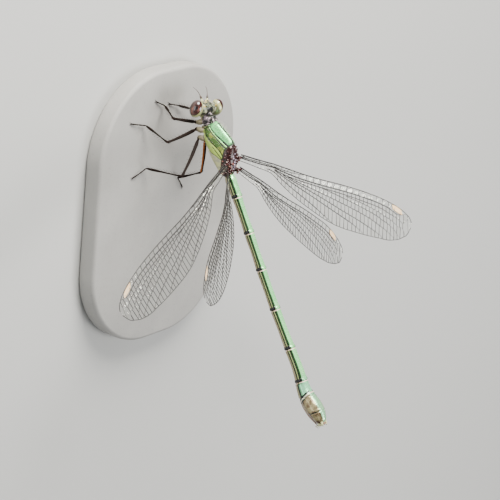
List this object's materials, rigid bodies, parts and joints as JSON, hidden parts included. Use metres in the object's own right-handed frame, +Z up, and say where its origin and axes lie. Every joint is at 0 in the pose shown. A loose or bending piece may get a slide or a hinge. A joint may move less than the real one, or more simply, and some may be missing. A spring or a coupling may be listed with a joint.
{
  "type": "damselfly on a display base",
  "caption": "Life-size still model of a female willow emerald damselfly, wings half spread and abdomen raised, standing on a small flat display base.",
  "frame": {"origin": "centre of the underside of the display base", "axes": "+X the way the damselfly faces, +Y to its left, +Z up"},
  "size_m": [0.0406, 0.0492, 0.0304],
  "materials": {
    "green_cuticle": "metallic green cuticle with darker sides, glossy",
    "bronze_cuticle": "bronze-brown cuticle with a green glint, glossy",
    "pale_cuticle": "pale cream cuticle, satin",
    "eye": "dark reddish brown above, pale green below, glossy",
    "leg": "dark brown to black cuticle, satin",
    "wing": "clear membrane with dark veins and a cream spot near the tip",
    "base": "plain light grey, matt"
  },
  "bodies": {
    "root": {"head": "green_cuticle", "thorax": "green_cuticle", "abdomen_1": "green_cuticle", "abdomen_2": "green_cuticle", "abdomen_3": "green_cuticle", "abdomen_4": "green_cuticle", "abdomen_5": "green_cuticle", "abdomen_6": "green_cuticle", "abdomen_7": "green_cuticle", "abdomen_8": "green_cuticle", "prothorax": "bronze_cuticle", "abdomen_9": "bronze_cuticle", "abdomen_10": "bronze_cuticle", "ovipositor": "bronze_cuticle", "mouth": "pale_cuticle", "cercus_left": "pale_cuticle", "cercus_right": "pale_cuticle", "eye_left": "eye", "eye_right": "eye", "antenna_left": "leg", "antenna_right": "leg", "leg_front_left_femur": "leg", "leg_front_left_tibia": "leg", "leg_front_left_tarsus": "leg", "leg_front_right_femur": "leg", "leg_front_right_tibia": "leg", "leg_front_right_tarsus": "leg", "leg_mid_left_femur": "leg", "leg_mid_left_tibia": "leg", "leg_mid_left_tarsus": "leg", "leg_mid_right_femur": "leg", "leg_mid_right_tibia": "leg", "leg_mid_right_tarsus": "leg", "leg_hind_left_femur": "leg", "leg_hind_left_tibia": "leg", "leg_hind_left_tarsus": "leg", "leg_hind_right_femur": "leg", "leg_hind_right_tibia": "leg", "leg_hind_right_tarsus": "leg", "wing_front_left": "wing", "wing_front_right": "wing", "wing_hind_left": "wing", "wing_hind_right": "wing", "stand_base": "base"}
  },
  "joints": []
}
